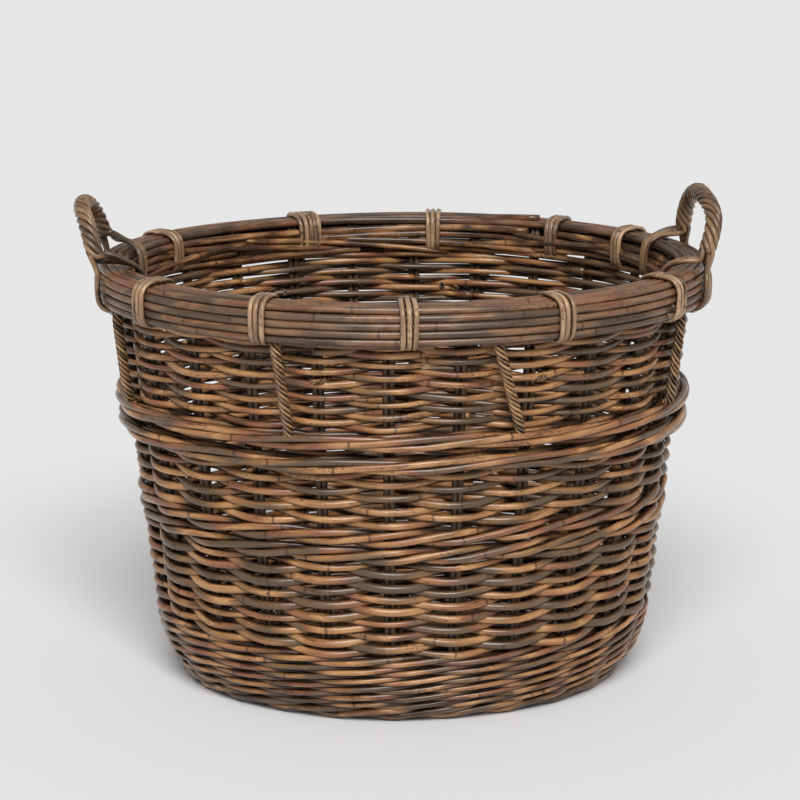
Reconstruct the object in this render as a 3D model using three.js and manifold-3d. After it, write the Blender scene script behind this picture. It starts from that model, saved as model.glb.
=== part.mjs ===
// Woven rattan laundry basket, an assembly in millimetres with +Z up.
//
// Twenty-four pairs of upright stakes rise from a woven oval base. Four bands of
// heavy waling hold the stakes in channels, and lighter woven bands run in front of
// one stake pair and behind the next. A bundle of rods makes the rim, cane bindings
// lash it, and twisted rods make the two end handles and the eight side ties.
//
// The origin is on the floor under the middle of the base. X runs from handle to
// handle and -Y is the front. Each piece is placed by three values: a parameter
// round the rim's outer oval, a distance outward from that oval, and a height.
import * as THREE from 'three';
import { mergeVertices } from 'three/addons/utils/BufferGeometryUtils.js';
import Module from 'manifold-3d';

const wasm = await Module();
wasm.setup();

// ---- Driving dimensions ----
const CLEAR = 0.3; // gap between rods that touch

const RIM_LENGTH = 610; // outside the rim, handle end to handle end
const RIM_WIDTH = 488; // outside the rim, front to back
const RIM_MID_HEIGHT = 410; // floor to the middle of the rim
const RIM_HEIGHT = 37; // rim bundle, bottom to top
const RIM_TOP_ROD = 8; // height of the rods laid along the top of the rim
const RIM_OVERHANG = 16; // rim's outer face beyond the weave's outer face
const RIM_INNER_DEPTH = 7; // rods of the rim inside the stakes
const RIM_CORNER = 7; // rounding of the rim bundle

const STAKE_PAIRS = 24; // upright pairs round the oval
const STAKE_ROD = 6.2; // one rod of a pair
const STAKE_FOOT = 1; // floor to the stakes' lower ends
const STAKE_TURN = -0.3; // first pair's place, in stake spacings past the end
const WEAVER_ROD = 6.2; // thickness of a woven band

// How far the wall's outer face stands in from the rim's outer face.
const FLOOR_INSET = 88;
const KNEE_HEIGHT = 18; // first bend of the wall
const KNEE_INSET = 67;
const BEND_HEIGHT = 52; // second bend, straight above it
const BEND_INSET = 54;

const FOOT_WALE_TOP = 75;
const MIDDLE_WALE_DROP = 202; // middle of the rim down to the band's top
const MIDDLE_WALE_HEIGHT = 36;
const SHOULDER_DROP = 106; // middle of the rim down to the shoulder's top
const SHOULDER_HEIGHT = 40;
const SHOULDER_SLOT = 5; // open slot between the shoulder's two bands
const SHOULDER_PROUD = 12; // shoulder beyond the wall
const MIDDLE_PROUD = 2; // middle wale beyond the wall

const LOWER_BANDS = 3; // woven bands between the waling bands
const MIDDLE_BANDS = 2;
const UPPER_BANDS = 2;

// Lashings round the rim, in stake spacings from the +X end.
const BINDING_PLACES = [2, 3.35, 5.4, 7.45, 10.1, 14.1, 16, 17.95, 20, 22];
const BINDING_WIDTH = 17; // three turns of cane side by side
const BINDING_CANE = 2.6; // thickness of the cane
const RIM_TO_WEAVE = 9; // bare stakes under the rim, where the lashings pass

// Span is between the middles of a handle's legs, rise is from its feet to the middle
// of the rope at the top, and lean is outward, in degrees.
const RIGHT_HANDLE = { span: 150, rise: 58, lean: 8 };
const LEFT_HANDLE = { span: 118, rise: 55, lean: 30 };
const HANDLE_ROPE = 17; // twisted rope
const HANDLE_SEAT = 3; // middle of a leg, in from the rim's outer face
const WRAP_WIDTH = 18; // handle strands wrapped round the rim
const WRAP_DEPTH = 6;

const TIE_ROPE = 10.5; // twisted tie
// Upper and lower end of each tie, in stake spacings from the +X end.
const TIE_TOPS = [1.5, 4.5, 7.5, 10.6, 13.1, 16.2, 19.18, 22.47];
const TIE_BOTTOMS = [1.55, 4.8, 7.6, 10.6, 13.13, 16.32, 19.51, 22.43];

const BASE_SLAB = 9; // woven base
const BASE_STICK = 6; // sticks across the base, square in section
const LONG_STICKS = 3;
const CROSS_STICKS = 5;
const LONG_STICK_SPACING = 64;
const CROSS_STICK_SPACING = 62;
const STICK_END_GAP = 8; // stick end to the wall

// Facets round the oval, counted for each stake pair.
const RIM_FACETS = 3;
const WALE_FACETS = 2;
const ROPE_SIDES = 8;
const HANDLE_STEPS = 22;

// ---- Finishes ----
const RATTAN = { color: 0x8a5f3c, roughness: 0.5, metalness: 0 };
const RATTAN_DARK = { color: 0x5e4837, roughness: 0.55, metalness: 0 };
const RIM_RATTAN = { color: 0x75604c, roughness: 0.5, metalness: 0 };
const CANE = { color: 0x9c7d54, roughness: 0.45, metalness: 0 };
const TWIST = { color: 0x7a6448, roughness: 0.6, metalness: 0 };

// ---- The oval ----
const RIM_A = RIM_LENGTH / 2;
const RIM_B = RIM_WIDTH / 2;
const TIGHTEST = (RIM_B * RIM_B) / RIM_A; // radius of the oval at its ends
const ARC_SAMPLES = 2880;

function ovalSpeed(t) {
  return Math.hypot(RIM_A * Math.sin(t), RIM_B * Math.cos(t));
}

function ovalPoint(t, out, z) {
  const nx = (RIM_B * Math.cos(t)) / ovalSpeed(t);
  const ny = (RIM_A * Math.sin(t)) / ovalSpeed(t);
  return new THREE.Vector3(RIM_A * Math.cos(t) + nx * out, RIM_B * Math.sin(t) + ny * out, z);
}

function arcTable() {
  const arc = [0];
  const dt = (2 * Math.PI) / ARC_SAMPLES;
  for (let i = 0; i < ARC_SAMPLES; i++) arc.push(arc[i] + ovalSpeed((i + 0.5) * dt) * dt);
  return arc;
}

const ARC = arcTable();
const PERIMETER = ARC[ARC_SAMPLES];
const SPACING = PERIMETER / STAKE_PAIRS;

// The oval's parameter at a place counted in stake spacings from the +X end.
function atSpacing(place) {
  const turns = Math.floor(place / STAKE_PAIRS);
  const s = (place - turns * STAKE_PAIRS) * SPACING;
  let i = 0;
  while (i < ARC_SAMPLES - 1 && ARC[i + 1] < s) i += 1;
  const part = (s - ARC[i]) / (ARC[i + 1] - ARC[i]);
  return ((i + part) / ARC_SAMPLES + turns) * 2 * Math.PI;
}

// The place nearest to the wanted one where a band this wide passes between stakes.
function besideStake(place, width) {
  const from = place - STAKE_TURN;
  const stake = Math.round(from);
  const need = (width / 2 + STAKE_ROD + CLEAR) / SPACING;
  const side = from < stake ? -1 : 1;
  return STAKE_TURN + stake + side * Math.max(Math.abs(from - stake), need);
}

function facetSag(perPair) {
  const chord = SPACING / perPair;
  return (chord * chord) / (8 * TIGHTEST);
}

// ---- The wall's outline ----
const RIM_BOTTOM = RIM_MID_HEIGHT - RIM_HEIGHT / 2;
const RIM_TOP = RIM_MID_HEIGHT + RIM_HEIGHT / 2;
const STAKE_TOP = RIM_TOP - RIM_TOP_ROD - CLEAR;
const WALL_THICKNESS = 2 * WEAVER_ROD + STAKE_ROD + 2 * CLEAR;

const MIDDLE_WALE_TOP = RIM_MID_HEIGHT - MIDDLE_WALE_DROP;
const MIDDLE_WALE_BOTTOM = MIDDLE_WALE_TOP - MIDDLE_WALE_HEIGHT;
const SHOULDER_TOP = RIM_MID_HEIGHT - SHOULDER_DROP;
const SHOULDER_BOTTOM = SHOULDER_TOP - SHOULDER_HEIGHT;

const OUTLINE = [
  [0, -FLOOR_INSET],
  [KNEE_HEIGHT, -KNEE_INSET],
  [BEND_HEIGHT, -BEND_INSET],
  [RIM_MID_HEIGHT, -RIM_OVERHANG],
];

function wallOut(z) {
  let i = 0;
  while (i < OUTLINE.length - 2 && z > OUTLINE[i + 1][0]) i += 1;
  const [z0, out0] = OUTLINE[i];
  const [z1, out1] = OUTLINE[i + 1];
  return out0 + ((out1 - out0) * (z - z0)) / (z1 - z0);
}

function stakeOut(z) {
  return wallOut(z) - WALL_THICKNESS / 2;
}

function heights(bottom, top) {
  const bends = [KNEE_HEIGHT, BEND_HEIGHT].filter((z) => z > bottom && z < top);
  return [bottom, ...bends, top];
}

// ---- Solids ----
function closed(geometry) {
  geometry.deleteAttribute('normal');
  geometry.deleteAttribute('uv');
  return mergeVertices(geometry, 1e-4);
}

function toSolid(geometry) {
  const vertProperties = new Float32Array(geometry.attributes.position.array);
  const triVerts = new Uint32Array(geometry.index.array);
  return new wasm.Manifold(new wasm.Mesh({ numProp: 3, vertProperties, triVerts }));
}

function toGeometry(solid) {
  const mesh = solid.getMesh();
  const geometry = new THREE.BufferGeometry();
  geometry.setAttribute('position', new THREE.BufferAttribute(mesh.vertProperties, 3));
  geometry.setIndex(new THREE.BufferAttribute(mesh.triVerts, 1));
  return geometry;
}

function moveVertices(geometry, place) {
  const position = geometry.attributes.position;
  for (let i = 0; i < position.count; i++) {
    const p = place(position.getX(i), position.getY(i), position.getZ(i), i);
    position.setXYZ(i, p.x, p.y, p.z);
  }
  return closed(geometry);
}

// A ring whose section, [out, height] points, is carried round the oval. The
// section is turned on a lathe first, then each turn goes to its place.
function ovalRing(section, places, shift = () => 0) {
  const loop = [...section, section[0]].map(([out, z]) => new THREE.Vector2(RIM_A + out, z));
  const ring = new THREE.LatheGeometry(loop, places.length);
  return moveVertices(ring, (x, z, y, i) => {
    const turn = Math.floor(i / loop.length) % places.length;
    const out = loop[i % loop.length].x - RIM_A;
    return ovalPoint(places[turn], out + shift(turn), z);
  });
}

function evenPlaces(perPair) {
  const places = [];
  for (let i = 0; i < STAKE_PAIRS * perPair; i++) {
    places.push(atSpacing(STAKE_TURN + i / perPair));
  }
  return places;
}

// ---- Stakes ----
// Section of a pair: wide along the wall, one rod deep.
function pairShape(gap) {
  const half = STAKE_ROD + gap;
  const flat = 0.7 * STAKE_ROD + gap;
  const deep = STAKE_ROD / 2 + gap;
  const corners = [[half, 0], [flat, deep], [-flat, deep], [-half, 0], [-flat, -deep], [flat, -deep]];
  return new THREE.Shape(corners.map(([x, y]) => new THREE.Vector2(x, y)));
}

function stakeGeometry(pair, gap, bottom, top) {
  const z = heights(bottom, top);
  const steps = z.length - 1;
  const t = atSpacing(STAKE_TURN + pair);
  const bar = new THREE.ExtrudeGeometry(pairShape(gap), { depth: steps, steps, bevelEnabled: false });
  return moveVertices(bar, (along, deep, level) => {
    const height = z[Math.round(level)];
    return ovalPoint(t - along / ovalSpeed(t), stakeOut(height) + deep, height);
  });
}

// ---- Waling bands, with a channel for each stake pair ----
function channelled(ring) {
  let solid = toSolid(ring);
  for (let pair = 0; pair < STAKE_PAIRS; pair++) {
    solid = solid.subtract(toSolid(stakeGeometry(pair, CLEAR, -1, STAKE_TOP + 1)));
  }
  return toGeometry(solid);
}

function waleRing(bottom, top, proud) {
  const up = heights(bottom, top);
  const outer = up.map((z) => [wallOut(z) + proud, z]);
  const inner = up.map((z) => [wallOut(z) - WALL_THICKNESS, z]).reverse();
  return channelled(ovalRing([...outer, ...inner], evenPlaces(WALE_FACETS)));
}

// ---- Woven bands ----
// Each band passes outside every second stake pair and inside the others.
function weavePlaces() {
  const flat = (STAKE_ROD + 2 * CLEAR) / SPACING;
  const places = [];
  for (let pair = 0; pair < STAKE_PAIRS; pair++) {
    const middle = STAKE_TURN + pair;
    places.push(atSpacing(middle - flat), atSpacing(middle + flat), atSpacing(middle + 0.5));
  }
  return places;
}

function weaveBand(bottom, top, phase) {
  const swing = STAKE_ROD / 2 + CLEAR + WEAVER_ROD / 2;
  const half = WEAVER_ROD / 2;
  const section = [
    [stakeOut(bottom) + half, bottom],
    [stakeOut(top) + half, top],
    [stakeOut(top) - half, top],
    [stakeOut(bottom) - half, bottom],
  ];
  return ovalRing(section, weavePlaces(), (turn) => {
    if (turn % 3 === 2) return 0;
    return (Math.floor(turn / 3) + phase) % 2 === 0 ? swing : -swing;
  });
}

// ---- Rim ----
const RIM_GAP = CLEAR + facetSag(RIM_FACETS);
const RIM_INNER_FACE = stakeOut(RIM_BOTTOM) - STAKE_ROD / 2 - RIM_GAP - RIM_INNER_DEPTH;

function outsideStakes(z) {
  return stakeOut(z) + STAKE_ROD / 2 + RIM_GAP;
}

function insideStakes(z) {
  return stakeOut(z) - STAKE_ROD / 2 - RIM_GAP;
}

function rimOuterSection() {
  return [
    [outsideStakes(RIM_BOTTOM), RIM_BOTTOM],
    [-RIM_CORNER, RIM_BOTTOM],
    [0, RIM_BOTTOM + RIM_CORNER],
    [0, STAKE_TOP],
    [outsideStakes(STAKE_TOP), STAKE_TOP],
  ];
}

function rimInnerSection() {
  return [
    [RIM_INNER_FACE, RIM_BOTTOM],
    [insideStakes(RIM_BOTTOM), RIM_BOTTOM],
    [insideStakes(STAKE_TOP), STAKE_TOP],
    [RIM_INNER_FACE, STAKE_TOP],
  ];
}

function rimTopSection() {
  const bottom = STAKE_TOP + CLEAR;
  return [
    [RIM_INNER_FACE, bottom],
    [0, bottom],
    [-RIM_CORNER, RIM_TOP],
    [RIM_INNER_FACE + RIM_CORNER, RIM_TOP],
  ];
}

// Outline round the whole rim bundle, grown by a distance.
function roundRim(grow) {
  const left = RIM_INNER_FACE - grow;
  const low = RIM_BOTTOM - grow;
  const high = RIM_TOP + grow;
  const cut = RIM_CORNER + grow * (Math.SQRT2 - 1);
  const points = [
    [left, low], [grow - cut, low], [grow, low + cut], [grow, high - cut],
    [grow - cut, high], [left + cut, high], [left, high - cut],
  ];
  return points.map(([x, y]) => new THREE.Vector2(x, y));
}

// A closed band round the rim bundle, centred on a place.
function rimBand(t, width, thickness) {
  const shape = new THREE.Shape(roundRim(RIM_GAP + thickness));
  shape.holes.push(new THREE.Path(roundRim(RIM_GAP)));
  const band = new THREE.ExtrudeGeometry(shape, { depth: width, steps: 1, bevelEnabled: false });
  return moveVertices(band, (out, z, along) => {
    return ovalPoint(t - (along - width / 2) / ovalSpeed(t), out, z);
  });
}

// ---- Twisted rope pieces ----
function ropeSection(diameter) {
  const corners = [];
  for (let i = 0; i < ROPE_SIDES; i++) {
    const turn = (2 * Math.PI * i) / ROPE_SIDES;
    corners.push(new THREE.Vector2(Math.cos(turn), Math.sin(turn)).multiplyScalar(diameter / 2));
  }
  return new THREE.Shape(corners);
}

function rope(curve, diameter, steps) {
  const options = { steps, extrudePath: curve, bevelEnabled: false };
  return closed(new THREE.ExtrudeGeometry(ropeSection(diameter), options));
}

function handlePlaces(middle, span) {
  const leg = span / 2 / SPACING;
  return [middle - leg, middle + leg].map((place) => besideStake(place, WRAP_WIDTH));
}

// The handle's arch stands on the rim between two places and leans outward.
function archCurve(places, rise, lean) {
  const footDrop = (HANDLE_ROPE / 2) * Math.sin(lean);
  const height = RIM_TOP + RIM_GAP + footDrop + CLEAR;
  const [first, last] = places.map((place) => ovalPoint(atSpacing(place), -HANDLE_SEAT, height));
  const outward = new THREE.Vector3().subVectors(last, first).normalize();
  outward.set(outward.y, -outward.x, 0);
  const points = [];
  for (let i = 0; i <= HANDLE_STEPS; i++) {
    const turn = (Math.PI * i) / HANDLE_STEPS;
    const above = rise * Math.sin(turn);
    const point = new THREE.Vector3().lerpVectors(first, last, (1 - Math.cos(turn)) / 2);
    point.addScaledVector(outward, above * Math.sin(lean));
    point.z += above * Math.cos(lean);
    points.push(point);
  }
  return new THREE.CatmullRomCurve3(points);
}

function handleGeometry(middle, size) {
  const places = handlePlaces(middle, size.span);
  const arch = archCurve(places, size.rise, THREE.MathUtils.degToRad(size.lean));
  let handle = toSolid(rope(arch, HANDLE_ROPE, HANDLE_STEPS));
  for (const place of places) {
    handle = handle.add(toSolid(rimBand(atSpacing(place), WRAP_WIDTH, WRAP_DEPTH)));
  }
  return toGeometry(handle);
}

function tieGeometry(topPlace, bottomPlace) {
  const off = TIE_ROPE / 2 + CLEAR + facetSag(RIM_FACETS);
  const slack = CLEAR + (TIE_ROPE / 2) * Math.sin(Math.PI / 8);
  const high = RIM_BOTTOM - RIM_GAP - WRAP_DEPTH - slack;
  const low = SHOULDER_TOP + slack;
  const top = ovalPoint(atSpacing(topPlace), wallOut(high) + off, high);
  const bottom = ovalPoint(atSpacing(bottomPlace), wallOut(low) + off, low);
  return rope(new THREE.LineCurve3(top, bottom), TIE_ROPE, 1);
}

// ---- Base ----
function insideWall(t) {
  return ovalPoint(t, wallOut(0) - WALL_THICKNESS - CLEAR - facetSag(WALE_FACETS), 0);
}

function baseSlab() {
  const outline = evenPlaces(WALE_FACETS).map((t) => insideWall(t));
  const shape = new THREE.Shape(outline.map((p) => new THREE.Vector2(p.x, p.y)));
  const options = { depth: BASE_SLAB, steps: 1, bevelEnabled: false };
  return closed(new THREE.ExtrudeGeometry(shape, options));
}

function stick(x, y, lengthX, lengthY) {
  const bar = new THREE.BoxGeometry(lengthX, lengthY, BASE_STICK);
  bar.translate(x, y, BASE_SLAB + CLEAR + BASE_STICK / 2);
  return toSolid(closed(bar));
}

function baseSticks() {
  const a = insideWall(0).x - STICK_END_GAP;
  const b = insideWall(Math.PI / 2).y - STICK_END_GAP;
  let lattice = null;
  const join = (bar) => {
    lattice = lattice ? lattice.add(bar) : bar;
  };
  for (let i = 0; i < LONG_STICKS; i++) {
    const y = (i - (LONG_STICKS - 1) / 2) * LONG_STICK_SPACING;
    join(stick(0, y, 2 * a * Math.sqrt(1 - (y / b) ** 2), BASE_STICK));
  }
  for (let i = 0; i < CROSS_STICKS; i++) {
    const x = (i - (CROSS_STICKS - 1) / 2) * CROSS_STICK_SPACING;
    join(stick(x, 0, BASE_STICK, 2 * b * Math.sqrt(1 - (x / a) ** 2)));
  }
  return toGeometry(lattice);
}

// ---- Assembly ----
const group = new THREE.Group();

function addPiece(name, geometry, finish) {
  const mesh = new THREE.Mesh(geometry, new THREE.MeshStandardMaterial(finish));
  mesh.name = name;
  group.add(mesh);
}

function addBase() {
  addPiece('base_weave', baseSlab(), RATTAN_DARK);
  addPiece('base_sticks', baseSticks(), RATTAN_DARK);
}

function addStakes() {
  for (let pair = 0; pair < STAKE_PAIRS; pair++) {
    const stake = stakeGeometry(pair, 0, STAKE_FOOT, STAKE_TOP);
    addPiece(`stake_pair_${pair + 1}`, stake, RATTAN_DARK);
  }
}

function addWales() {
  const slotMiddle = (SHOULDER_BOTTOM + SHOULDER_TOP) / 2;
  const slotBottom = slotMiddle - SHOULDER_SLOT / 2;
  const slotTop = slotMiddle + SHOULDER_SLOT / 2;
  const middle = waleRing(MIDDLE_WALE_BOTTOM, MIDDLE_WALE_TOP, MIDDLE_PROUD);
  addPiece('foot_wale', waleRing(0, FOOT_WALE_TOP, 0), RATTAN);
  addPiece('middle_wale', middle, RATTAN);
  addPiece('shoulder_wale_lower', waleRing(SHOULDER_BOTTOM, slotBottom, SHOULDER_PROUD), RATTAN);
  addPiece('shoulder_wale_upper', waleRing(slotTop, SHOULDER_TOP, SHOULDER_PROUD), RATTAN);
}

function addWoven(name, bottom, top, bands) {
  const pitch = (top - bottom) / bands;
  for (let i = 0; i < bands; i++) {
    const low = bottom + i * pitch + CLEAR;
    addPiece(`${name}_${i + 1}`, weaveBand(low, low + pitch - 2 * CLEAR, i), RATTAN);
  }
}

function addRim() {
  const places = evenPlaces(RIM_FACETS);
  addPiece('rim_outer_rods', ovalRing(rimOuterSection(), places), RIM_RATTAN);
  addPiece('rim_inner_rods', ovalRing(rimInnerSection(), places), RIM_RATTAN);
  addPiece('rim_top_rods', ovalRing(rimTopSection(), places), RIM_RATTAN);
}

function addBindings() {
  BINDING_PLACES.forEach((place, i) => {
    const clearPlace = besideStake(place, BINDING_WIDTH);
    const binding = rimBand(atSpacing(clearPlace), BINDING_WIDTH, BINDING_CANE);
    addPiece(`rim_binding_${i + 1}`, binding, CANE);
  });
}

function addHandles() {
  addPiece('handle_right', handleGeometry(0, RIGHT_HANDLE), TWIST);
  addPiece('handle_left', handleGeometry(STAKE_PAIRS / 2, LEFT_HANDLE), TWIST);
}

function addTies() {
  TIE_TOPS.forEach((top, i) => {
    addPiece(`side_tie_${i + 1}`, tieGeometry(top, TIE_BOTTOMS[i]), TWIST);
  });
}

addBase();
addStakes();
addWales();
addWoven('lower_weave', FOOT_WALE_TOP, MIDDLE_WALE_BOTTOM, LOWER_BANDS);
addWoven('middle_weave', MIDDLE_WALE_TOP, SHOULDER_BOTTOM, MIDDLE_BANDS);
addWoven('upper_weave', SHOULDER_TOP, RIM_BOTTOM - RIM_TO_WEAVE, UPPER_BANDS);
addRim();
addBindings();
addHandles();
addTies();

export default group;
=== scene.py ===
import math

import bpy
import numpy as np
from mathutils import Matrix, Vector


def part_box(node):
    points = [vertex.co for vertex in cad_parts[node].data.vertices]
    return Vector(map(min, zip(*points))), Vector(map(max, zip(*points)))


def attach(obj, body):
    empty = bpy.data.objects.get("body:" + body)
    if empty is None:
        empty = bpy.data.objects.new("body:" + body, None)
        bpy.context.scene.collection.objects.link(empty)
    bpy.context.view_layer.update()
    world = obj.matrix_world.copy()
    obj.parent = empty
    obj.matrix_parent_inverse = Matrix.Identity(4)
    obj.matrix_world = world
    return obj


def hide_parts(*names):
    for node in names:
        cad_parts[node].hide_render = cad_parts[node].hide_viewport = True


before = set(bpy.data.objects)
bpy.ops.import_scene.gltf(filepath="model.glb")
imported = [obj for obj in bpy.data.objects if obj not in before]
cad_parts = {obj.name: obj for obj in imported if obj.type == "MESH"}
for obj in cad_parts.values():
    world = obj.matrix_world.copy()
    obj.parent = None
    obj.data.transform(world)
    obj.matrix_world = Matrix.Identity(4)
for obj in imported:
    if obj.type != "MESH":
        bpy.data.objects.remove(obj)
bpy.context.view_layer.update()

METRE = 1000.0
rng = np.random.default_rng(24)

# ---- Rods, in millimetres ----
STAKE_THICK = 6.2
UPPER_WEAVER = 6.5  # the wall is woven of thicker rods lower down
WALL_WEAVER = 7.8
FOOT_WEAVER = 5.7
WALER_THICK = 7.6
RIM_ROD_THICK = 7.6
INNER_RIM_THICK = 6.8
CANE_WIDE = 5.4
CANE_THICK = 4.4
HANDLE_STRAND = 5.4
HANDLE_PITCH = -58.0  # one full twist of a handle, left-handed
TIE_STRAND = 3.1
TIE_PITCH = -27.0

# ---- Weaving ----
WEAVER_SWING = 6.4  # weaver's middle to the stakes' middle
WALER_SWING = 7.4
WEAVER_SAG = 1.1  # a weaver hangs lower where it swings out
WEAVER_SIZES = (0.84, 1.12)  # weavers differ this much in thickness
TAPER = (1.1, 0.9)  # a rod's butt and tip against its middle
SHOULDER_REACH = 17.0  # outer rods of the shoulder to the stakes' middle
SHOULDER_STROKE = 4.8  # stakes for one turn of the shoulder's outer rods
SLOT_WEAVER = 5.4  # one rod runs in the slot between the shoulder's bands
FOOT_ROUNDS = 6
FOOT_SWING = 7.0
FOOT_LIFT = 1.6  # keeps the thick butts of the lowest rods off the floor
STAKE_LIFT = 1.5  # keeps the slanting cut ends of the stakes off the floor
LOWER_ROWS = (5, 5, 5)
MIDDLE_ROWS = (4, 4)
UPPER_ROWS = (7, 6)
POINTS_PER_SPACING = 8


# ---- The frame's own measures ----
def node_points(name):
    """The corners of a node, in millimetres."""
    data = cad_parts[name].data
    points = np.empty(len(data.vertices) * 3, np.float32)
    data.vertices.foreach_get("co", points)
    return points.reshape(-1, 3).astype(float) * METRE


def low_high(name):
    """Heights of a node's underside and top."""
    low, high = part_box(name)
    return low.z * METRE, high.z * METRE


RIM_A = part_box("rim_outer_rods")[1].x * METRE
RIM_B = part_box("rim_outer_rods")[1].y * METRE
RIM_BOTTOM, STAKE_TOP = low_high("rim_outer_rods")
RIM_TOP = low_high("rim_top_rods")[1]
STAKE_NODES = sorted(
    (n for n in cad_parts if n.startswith("stake_pair_")), key=lambda n: int(n.split("_")[-1])
)
STAKES = len(STAKE_NODES)

ARC_STEPS = 2880
ARC_ANGLE = np.linspace(0, 2 * np.pi, ARC_STEPS + 1)
ARC_MIDDLE = (ARC_ANGLE[1:] + ARC_ANGLE[:-1]) / 2
ARC_LENGTH = np.concatenate(
    [[0], np.cumsum(np.hypot(RIM_A * np.sin(ARC_MIDDLE), RIM_B * np.cos(ARC_MIDDLE)))]
) * (2 * np.pi / ARC_STEPS)
SPACING = ARC_LENGTH[-1] / STAKES


def angle_at(place):
    """Angle on the rim's oval at a place round it."""
    turns = np.floor(place / STAKES)
    return np.interp((place - turns * STAKES) * SPACING, ARC_LENGTH, ARC_ANGLE)


def outward(place):
    """The way square to the rim's oval at a place."""
    angle = angle_at(np.asarray(place, float))
    normal = np.stack([RIM_B * np.cos(angle), RIM_A * np.sin(angle), 0 * angle], -1)
    return normal / np.linalg.norm(normal, axis=-1, keepdims=True)


def wall_point(place, out, height):
    """A place, a distance outward and a height as a point in space."""
    place = np.asarray(place, float)
    angle = angle_at(place)
    rim = np.stack([RIM_A * np.cos(angle), RIM_B * np.sin(angle), height + 0 * angle], -1)
    return rim + outward(place) * np.expand_dims(np.asarray(out + 0 * place, float), -1)


def measure(points):
    """Mean place, distance outward from the rim's oval, and height of some points."""
    middle = points.mean(axis=0)
    places = np.arange(0, STAKES, 0.01)
    rim = wall_point(places, 0, middle[2])
    nearest = np.argmin(np.linalg.norm(rim - middle, axis=1))
    out = np.dot(middle - rim[nearest], outward(places[nearest]))
    return places[nearest], out, middle[2]


FIRST_STAKE = measure(node_points(STAKE_NODES[0]))[0] - STAKES
STAKE_LINE = []
stake_points = node_points(STAKE_NODES[0])
for level in np.unique(stake_points[:, 2].round(1)):
    ring = stake_points[np.abs(stake_points[:, 2] - level) < 0.1]
    STAKE_LINE.append((level, measure(ring)[1]))
STAKE_FOOT = STAKE_LINE[0][0]
# A few corners are enough to meet the innermost face of the rim's section.
RIM_INNER_FACE = min(measure(node_points("rim_inner_rods")[i:i + 1])[1] for i in range(8))


# Each wave of a hand-woven wall: its size, how many go round the basket, where it
# starts, and the height over which it turns by a radian.
WALL_WAVES = ((0.9, 3, 0, 90), (0.6, 7, 1, 45))
ROW_WAVES = ((1.0, 2, 0, 70), (0.7, 5, 1, 40), (0.45, 11, 2, 21))
EVEN_AT_TOP = (20, 60)  # the wall is even this near its top, and uneven this much lower
LEVEL_AT_FOOT = 50  # rows run level at the foot and under the rim, and settle between
LEVEL_AT_RIM = 30
BEND_EASING = (-12, -6, 0, 6, 12)


def hand_wave(waves, place, height):
    """The waves' sum, in millimetres."""
    turn = 2 * np.pi * place / STAKES
    return sum(size * np.sin(count * turn + start + height / reach)
               for size, count, start, reach in waves)


def uneven(place, height):
    """How far a hand-woven wall stands in or out of its even line."""
    even, fade = EVEN_AT_TOP
    wave = hand_wave(WALL_WAVES, place, height)
    return wave * np.clip((STAKE_TOP - even - height) / fade, 0, 1)


def stake_out(place, height):
    """The stakes' middle, with the bends of the wall eased."""
    levels, outs = zip(*STAKE_LINE)
    line = sum(np.interp(height + shift, levels, outs) for shift in BEND_EASING)
    return line / len(BEND_EASING) + uneven(place, height)


def settled(place, height):
    """Height of a row after hand weaving, which leaves it higher here and lower there."""
    wave = hand_wave(ROW_WAVES, place, height)
    wave = wave * np.clip(height / LEVEL_AT_FOOT, 0, 1)
    return height + wave * np.clip((RIM_BOTTOM - height) / LEVEL_AT_RIM, 0, 1)


# ---- Rods as meshes ----
RUB_AND_LIGHT_ALL_ROUND = 0.35  # the share of a rod's rubbing and painted light that reaches all its sides; the rest goes to its outward and inward sides, so the sides between rods keep painted shade
END_ROOM = 2.2  # room for a cut end on the unrolled strip, in radii of the rod
END_WIDE = 0.3  # half width of a cut end there, as a share of the strip
ROW_MARGIN = 0.01  # kept clear at each edge of a row of the map


class Rod:
    """A round rod along points. Its face is the side that looks outward. How much its finish is
    rubbed off and painted lit there runs from 0 to 1, with a value for the other side too; where
    these are low the rod shows stain and painted shade. A free rod bends in any direction, and the
    others lie along the wall or the rim."""

    def __init__(self, points, thick, face, rub_and_light=1.0, back_rub_and_light=0.0, wide=None, sides=8,
                 loop=False, free=False):
        self.points = np.asarray(points, float)
        count = len(self.points)
        self.thick = np.broadcast_to(thick, count) / 2
        self.wide = self.thick if wide is None else np.broadcast_to(wide, count) / 2
        self.face = np.broadcast_to(face, (count, 3))
        self.rub_and_light = np.broadcast_to(rub_and_light, count)
        self.back_rub_and_light = np.broadcast_to(back_rub_and_light, count)
        self.sides = sides
        self.loop = loop
        self.free = free
        self.tone = rng.random()
        self.grain_start = rng.uniform(0, 2000, 3)


def unit(vectors):
    """The same directions with a length of one."""
    return vectors / np.maximum(np.linalg.norm(vectors, axis=-1, keepdims=True), 1e-9)


def run_along(points):
    """The distance run along a path at each of its points."""
    return np.concatenate([[0], np.cumsum(np.linalg.norm(np.diff(points, axis=0), axis=1))])


def tangents(points, loop=False):
    if loop:
        return unit(np.roll(points, -1, 0) - np.roll(points, 1, 0))
    return unit(np.gradient(points, axis=0))


def square_to(along, direction):
    """The part of a direction that is square to another."""
    return unit(direction - along * np.sum(direction * along, -1, keepdims=True))


def untwisted(along, first):
    """Directions square to a path that don't turn round it, from the first on."""
    directions = [square_to(along[0], first)]
    for step in along[1:]:
        directions.append(square_to(step, directions[-1]))
    return np.array(directions)


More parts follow.
